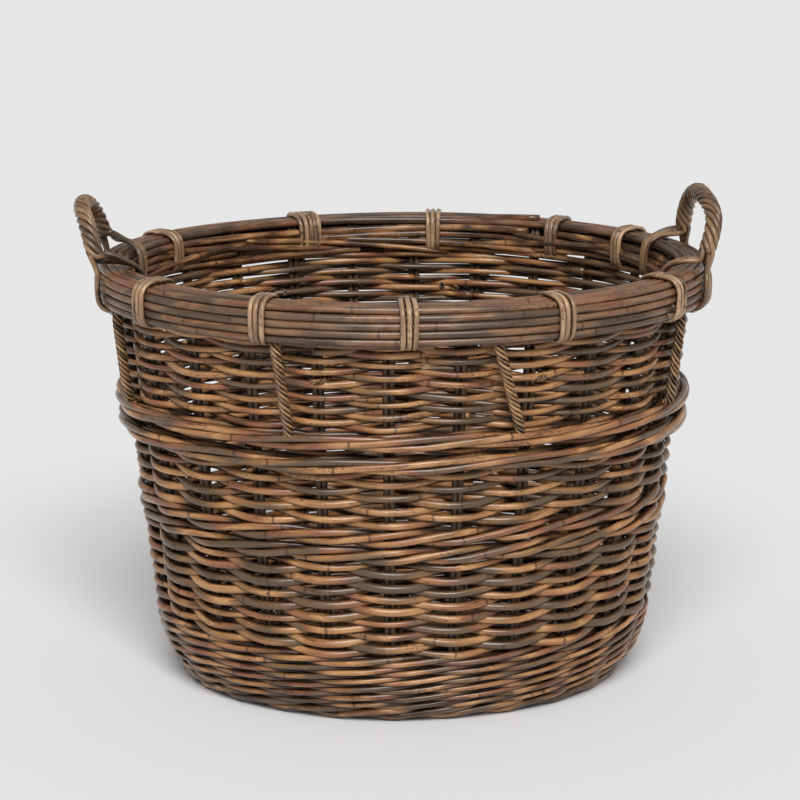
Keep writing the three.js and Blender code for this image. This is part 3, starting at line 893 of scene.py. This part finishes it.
# For each handle, how far its front and back halves bow outward, and how far its top
# leans in. Then, for its front and back legs, the strands that go down outside the rim,
# how far those and the ones that cross the rim run along it, away from the middle, and
# how many short strands are laid in beside the crossing ones.
BOW = {"handle_right": (6.0, -2.0, 0.0), "handle_left": (-3.0, -3.0, 6.0)}
LEGS = {
    "handle_right": ((4, 8.0, 16.0, 0), (3, -30.0, 14.0, 2)),
    "handle_left": ((1, 10.0, 6.0, 3), (2, -24.0, -24.0, 1)),
}
OVER_THE_RIM = np.radians([24, 0, -30, -62, -96, -130, -168, -205])
OVER_LIFT = np.array([5.0, 3.0, 0.5, 0, 0, 0, 0, 0])  # a strand comes down as it crosses
DOWN_THE_RIM = np.radians([60, 82, 106, 132, 160, 188, 214, 240])
HANDLE_STEP = 4.0
LEAVES_TWIST = 3  # steps before the foot at which a strand leaves the twist
LAID_IN_FROM = (10, 7, 4)  # steps before the foot at which a short strand follows the arch
STRAND_PACKING = 1.02  # pitch of strands side by side, in strands
STRAND_CLEAR = 0.3
STRAND_SIZES = (0.94, 1.04)
HANDLE_FOOT_OUT = -3.0  # where the twist stands on the rim
HANDLE_FOOT_LIFT = 1.0


def handle_tail(leg, sweep, lane, turns, lift):
    """Where one strand leaves the handle's foot, fans out into its lane, and wraps the
    rim, under it and up again."""
    out, height = round_rim(turns, HANDLE_STRAND / 2 + STRAND_CLEAR)
    run = np.linspace(0, 1, len(turns))
    fan = np.interp(run, (0, 0.4), (0.5, 1.0))
    along = sweep * run ** 0.8 + lane * fan * HANDLE_STRAND * STRAND_PACKING
    return wall_point(leg + along / SPACING, out, height + lift)


def handle_arch(node):
    """The middle line of a handle, the way square to it, and the places of its two legs
    with the direction along the rim in which each lies from the middle."""
    points = node_points(node)
    # The node's ends are under the rim, and its top is halfway between them.
    low = points[points[:, 2] < RIM_BOTTOM - 1]
    from_middle = low[:, 1] - low[:, 1].mean()
    halfway = np.abs(points[:, 1] - low[:, 1].mean()) < 6
    top = points[halfway & (points[:, 2] > RIM_TOP + 20)].mean(axis=0)
    middle_place = measure(top[None])[0]
    legs = [measure(low[from_middle * side > 0])[0] for side in (-1, 1)]
    away = [np.sign((leg - middle_place + STAKES / 2) % STAKES - STAKES / 2) for leg in legs]
    feet = [wall_point(leg, HANDLE_FOOT_OUT, RIM_TOP + HANDLE_FOOT_LIFT) for leg in legs]
    between = (feet[0] + feet[1]) / 2
    turn = np.linspace(0, np.pi, 120)[:, None]
    across = np.sign(np.cos(turn)) * np.abs(np.cos(turn)) ** ARCH_FULLNESS
    arch = between + (feet[0] - between) * across + (top - between) * np.sin(turn)
    front_bow, back_bow, lean_in = BOW[node]
    bow = np.where(turn < np.pi / 2, front_bow, back_bow) * np.sin(2 * turn) ** 2
    arch = arch + outward(middle_place) * (bow - lean_in * np.sin(turn) ** 2)
    plane = np.cross(feet[1] - feet[0], top - between)
    return evenly(arch, HANDLE_STEP), plane, zip(legs, away)


def leg_tails(strands, end, leg, way, outside, down, over):
    """The tails of all strands at one leg, each from its end of the twist. Strands take
    the lane nearest to where they leave the twist, so none cross."""
    side = np.cross([0, 0, 1.0], outward(leg))
    by_reach = np.argsort([-np.dot(strand[end], outward(leg)) for strand in strands])
    tails = [None] * HANDLE_STRANDS
    for group, turns, sweep, lift in (
        (by_reach[:outside], DOWN_THE_RIM, way * down, 0.0),
        (by_reach[outside:], OVER_THE_RIM, way * over, OVER_LIFT),
    ):
        in_order = sorted(group, key=lambda i: np.dot(strands[i][end], side))
        first_lane = (1 - len(in_order)) / 2
        for lane, i in enumerate(in_order):
            fan = 1 + 0.5 * lane
            tails[i] = handle_tail(leg, sweep, first_lane + lane, turns, lift * fan)
    return tails


def handle(node, material):
    """An arch of twisted strands. At each foot they part, and wrap the rim from its
    inside or its outside."""
    arch, plane, legs = handle_arch(node)
    strands = [
        laid_round(arch, plane, HANDLE_RADIUS, HANDLE_PITCH, i / HANDLE_STRANDS)[0]
        for i in range(HANDLE_STRANDS)
    ]
    spine, tails, laid_in = [arch], [], []
    from_foot = np.array(LAID_IN_FROM)
    # The arch starts at its front leg and ends at its back leg, at index -1.
    ends = ((LEAVES_TWIST + 1, from_foot), (-2 - LEAVES_TWIST, -1 - from_foot))
    for (leg, way), (end, inner), (outside, down, over, extra) in zip(legs, ends, LEGS[node]):
        spine.append(wall_point(leg + np.linspace(-0.6, 0.6, 25), *RIM_MIDDLE))
        tails.append(leg_tails(strands, end, leg, way, outside, down, over))
        for i in range(extra):
            lane = way * ((HANDLE_STRANDS - outside + 1) / 2 + i)
            path = handle_tail(leg, way * over, lane, OVER_THE_RIM, OVER_LIFT)
            laid_in.append(smooth_path(np.concatenate([arch[inner], path]), HANDLE_STEP))
    spine = np.concatenate(spine)
    paths = []
    for strand, front_tail, back_tail in zip(strands, *tails):
        twisted = strand[LEAVES_TWIST:len(strand) - LEAVES_TWIST:2]
        path = np.concatenate([front_tail[::-1], twisted, back_tail])
        paths.append(smooth_path(path, HANDLE_STEP))
    rods = []
    for path in paths + laid_in:
        nearest = np.argmin(np.linalg.norm(path[:, None] - spine, axis=2), axis=1)
        size = HANDLE_STRAND * rng.uniform(*STRAND_SIZES)
        # Each strand is rubbed and painted lit on its side away from the handle's middle, with
        # painted shade towards it.
        rods.append(Rod(path, size, path - spine[nearest], 1.0, 0.1, free=True))
    make_piece(f"{node}_strands", rods, material, "twisted_rod", node)


TIE_STRANDS = 5
TIE_RADIUS = 3.7  # a strand's middle to the tie's middle
ANCHOR_SCALE = 0.6  # the tie's end is thinner where it is pulled through the wall
ANCHOR_MIDDLE = 0.46  # its place from the tie, in stake spacings
ANCHOR_ABOVE = 8  # its height over the middle of the tie


def twisted_tie(centre, facing, scale=1.0):
    """Thin strands laid round a core of stain and painted shade, which darkens the gaps between
    them.
    """
    rods = [Rod(centre, 1.5 * TIE_RADIUS * scale, facing, 0.0, 0.0, sides=6)]
    for strand in range(TIE_STRANDS):
        share = strand / TIE_STRANDS
        path, face = laid_round(centre, facing, TIE_RADIUS * scale, TIE_PITCH * scale, share)
        rods.append(Rod(path, TIE_STRAND * scale, face, 1.0, 0.0, sides=6))
    return rods


def side_tie(node, material):
    """A tie from under the rim to the shoulder, with its end pulled through the wall."""
    points = node_points(node)
    place, _, level = measure(points)
    top = points[points[:, 2] > level].mean(axis=0)
    bottom = points[points[:, 2] < level].mean(axis=0)
    facing = outward(place)
    along = unit(top - bottom)
    centre = smooth_path([
        top + along * 11 - facing * 6,
        top + along * 3 - facing * 0.5,
        top * 0.6 + bottom * 0.4 + facing * 0.4,
        bottom - along * 1,
        bottom - along * 9 - facing * 5,
    ], 2.2)
    rods = twisted_tie(centre, facing)
    at = place + ANCHOR_MIDDLE + np.array([-0.12, -0.09, 0.0, 0.09, 0.12])
    reach = np.array([-8.0, 6.0, 9.0, 6.0, -8.0])
    height = level + ANCHOR_ABOVE + np.array([-1.5, -1.0, 0.0, 1.0, 1.5])
    anchor = smooth_path(wall_point(at, stake_out(at, height) + reach, height), 1.4)
    rods += twisted_tie(anchor, outward(place + ANCHOR_MIDDLE), ANCHOR_SCALE)
    make_piece(f"{node}_twist", rods, material, "twisted_rod", node)


# ---- Base ----
BASE_PITCH = 6.0
BASE_ROD = 5.6
BASE_DIP = 1.5  # a base rod waves this far above and below the weave's middle
WALL_ROUNDS = 3
LONG_STICK_SPACING = 64.0
CROSS_STICK_SPACING = 62.0
STICK_POINTS = 30
UPWARD = (0, 0, 1)


def base_rod(points):
    """A closed round of the base."""
    # Rubbed and painted lit on top and below, with painted shade on the sides between rounds.
    return Rod(points, BASE_ROD, UPWARD, 0.8, 0.6, sides=6, loop=True)


def base_weave(material):
    """Rounds of weaving inside each other, and the last ones round the stakes' feet."""
    low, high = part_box("base_weave")
    half_x, half_y, middle = high.x * METRE, high.y * METRE, (low.z + high.z) / 2 * METRE
    rods = []
    for row in range(int(half_y / BASE_PITCH)):
        a, b = half_x - (row + 0.5) * BASE_PITCH, half_y - (row + 0.5) * BASE_PITCH
        count = max(24, int((a + b) * math.pi / 9))
        turn = np.linspace(0, 2 * np.pi, count + 1)[:-1]
        dip = BASE_DIP * np.cos(turn * 8 + row * np.pi)
        rods.append(base_rod(np.stack([a * np.cos(turn), b * np.sin(turn), middle + dip], -1)))
    # The rounds that close the base against the wall. The outermost is woven round the feet.
    place = np.arange(0, STAKES, 1 / POINTS_PER_SPACING)
    for row in range(WALL_ROUNDS):
        out = STAKE_LINE[0][1] - row * BASE_PITCH
        if row == 0:
            out = out - 1.0 + 4.5 * np.cos(np.pi * (place - FIRST_STAKE))
        dip = BASE_DIP * np.cos(np.pi * (place + row))
        rods.append(base_rod(wall_point(place, out, middle + dip)))
    make_piece("base_weave_rods", rods, material, "base_weaver", "base_weave")


def base_sticks(material):
    """Long sticks, and cross sticks that lie on them, all cut to the base's oval."""
    low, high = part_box("base_sticks")
    half_x, half_y = high.x * METRE, high.y * METRE
    thick, level = (high.z - low.z) * METRE, (high.z + low.z) / 2 * METRE
    lines = []
    for i in (-1, 0, 1):
        y = i * LONG_STICK_SPACING
        reach = half_x * math.sqrt(1 - (y / half_y) ** 2)
        lines.append(((-reach, y, level), (reach, y, level)))
    for i in (-2, -1, 0, 1, 2):
        x = i * CROSS_STICK_SPACING
        reach = half_y * math.sqrt(1 - (x / half_x) ** 2)
        lines.append(((x, -reach, level + 1), (x, reach, level + 1)))
    # Rubbed and painted lit mostly on top, with stain and painted shade on the sides and below.
    sticks = [Rod(np.linspace(*line, STICK_POINTS), thick, UPWARD, 0.7, 0.3) for line in lines]
    make_piece("base_sticks_rods", sticks, material, "base_weaver", "base_sticks")


# ---- The basket ----
def make_basket():
    weaver, stake, rim = weaver_finish(), stake_finish(), rim_finish()
    cane, twist, tie, base_rods = cane_finish(), handle_finish(), tie_finish(), base_finish()
    base_weave(base_rods)
    base_sticks(base_rods)
    for node in STAKE_NODES:
        stake_pair(node, stake)
    foot(weaver)
    wale("middle_wale", 2, weaver)
    wale("shoulder_wale_lower", 1, weaver)
    wale("shoulder_wale_upper", 1, weaver)
    woven_bands("lower_weave", LOWER_ROWS, 1, WALL_WEAVER, weaver)
    woven_bands("middle_weave", MIDDLE_ROWS, 0, WALL_WEAVER, weaver)
    woven_bands("upper_weave", UPPER_ROWS, 0, UPPER_WEAVER, weaver)
    rim_rods(rim, weaver)
    for node in sorted(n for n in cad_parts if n.startswith("rim_binding_")):
        binding(node, cane)
    for node in ("handle_right", "handle_left"):
        handle(node, twist)
    for node in sorted(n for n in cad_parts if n.startswith("side_tie_")):
        side_tie(node, tie)


# ---- Camera, floor and light, in metres ----
CAMERA_LENS = 106.26
CAMERA_SPOT = (-0.0803, -2.2986, 0.8912)
CAMERA_DOWN = 14.9  # degrees below level
CAMERA_TURN = -1.94
FLOOR_HALF = 40.0
ROOM_STRENGTH = 0.41
# Each lamp's strength, and in degrees how wide it is, how far it stands from overhead
# toward the front, and how far it is turned to the right.
LAMPS = {"softbox": (2.5, 32, 42, -1), "strip_lamp": (0.4, 16, 50, 20)}


def make_camera():
    data = bpy.data.cameras.new("camera")
    data.lens = CAMERA_LENS
    camera = bpy.data.objects.new("camera", data)
    camera.location = CAMERA_SPOT
    camera.rotation_euler = (math.radians(90 - CAMERA_DOWN), 0, math.radians(CAMERA_TURN))
    bpy.context.scene.collection.objects.link(camera)
    bpy.context.scene.camera = camera


def make_floor():
    mesh = bpy.data.meshes.new("studio_floor")
    corners = [(x * FLOOR_HALF, y * FLOOR_HALF, 0) for x, y in ((-1, -1), (1, -1), (1, 1), (-1, 1))]
    mesh.from_pydata(corners, [], [(0, 1, 2, 3)])
    paper = bpy.data.materials.new("pale_studio_paper")
    paper.use_nodes = True
    surface = paper.node_tree.nodes["Principled BSDF"]
    surface.inputs["Base Color"].default_value = linear("#e3e3e3")
    surface.inputs["Roughness"].default_value = 0.9
    surface.inputs["Specular IOR Level"].default_value = 0.1
    mesh.materials.append(paper)
    floor = bpy.data.objects.new("studio_floor", mesh)
    bpy.context.scene.collection.objects.link(floor)


def make_light():
    """A pale room all round, a wide lamp above and in front, and a smaller one to the
    right that puts a glint on the varnish."""
    world = bpy.data.worlds.new("studio")
    world.use_nodes = True
    background = world.node_tree.nodes["Background"]
    background.inputs["Color"].default_value = linear("#f4f4f4")
    background.inputs["Strength"].default_value = ROOM_STRENGTH
    bpy.context.scene.world = world
    for name, (energy, wide, tilt, side) in LAMPS.items():
        lamp = bpy.data.lights.new(name, "SUN")
        lamp.energy = energy
        lamp.angle = math.radians(wide)
        stand = bpy.data.objects.new(name, lamp)
        stand.rotation_euler = (math.radians(tilt), 0, math.radians(side))
        bpy.context.scene.collection.objects.link(stand)
    bpy.context.scene.view_settings.view_transform = "Standard"


make_basket()
make_camera()
make_floor()
make_light()
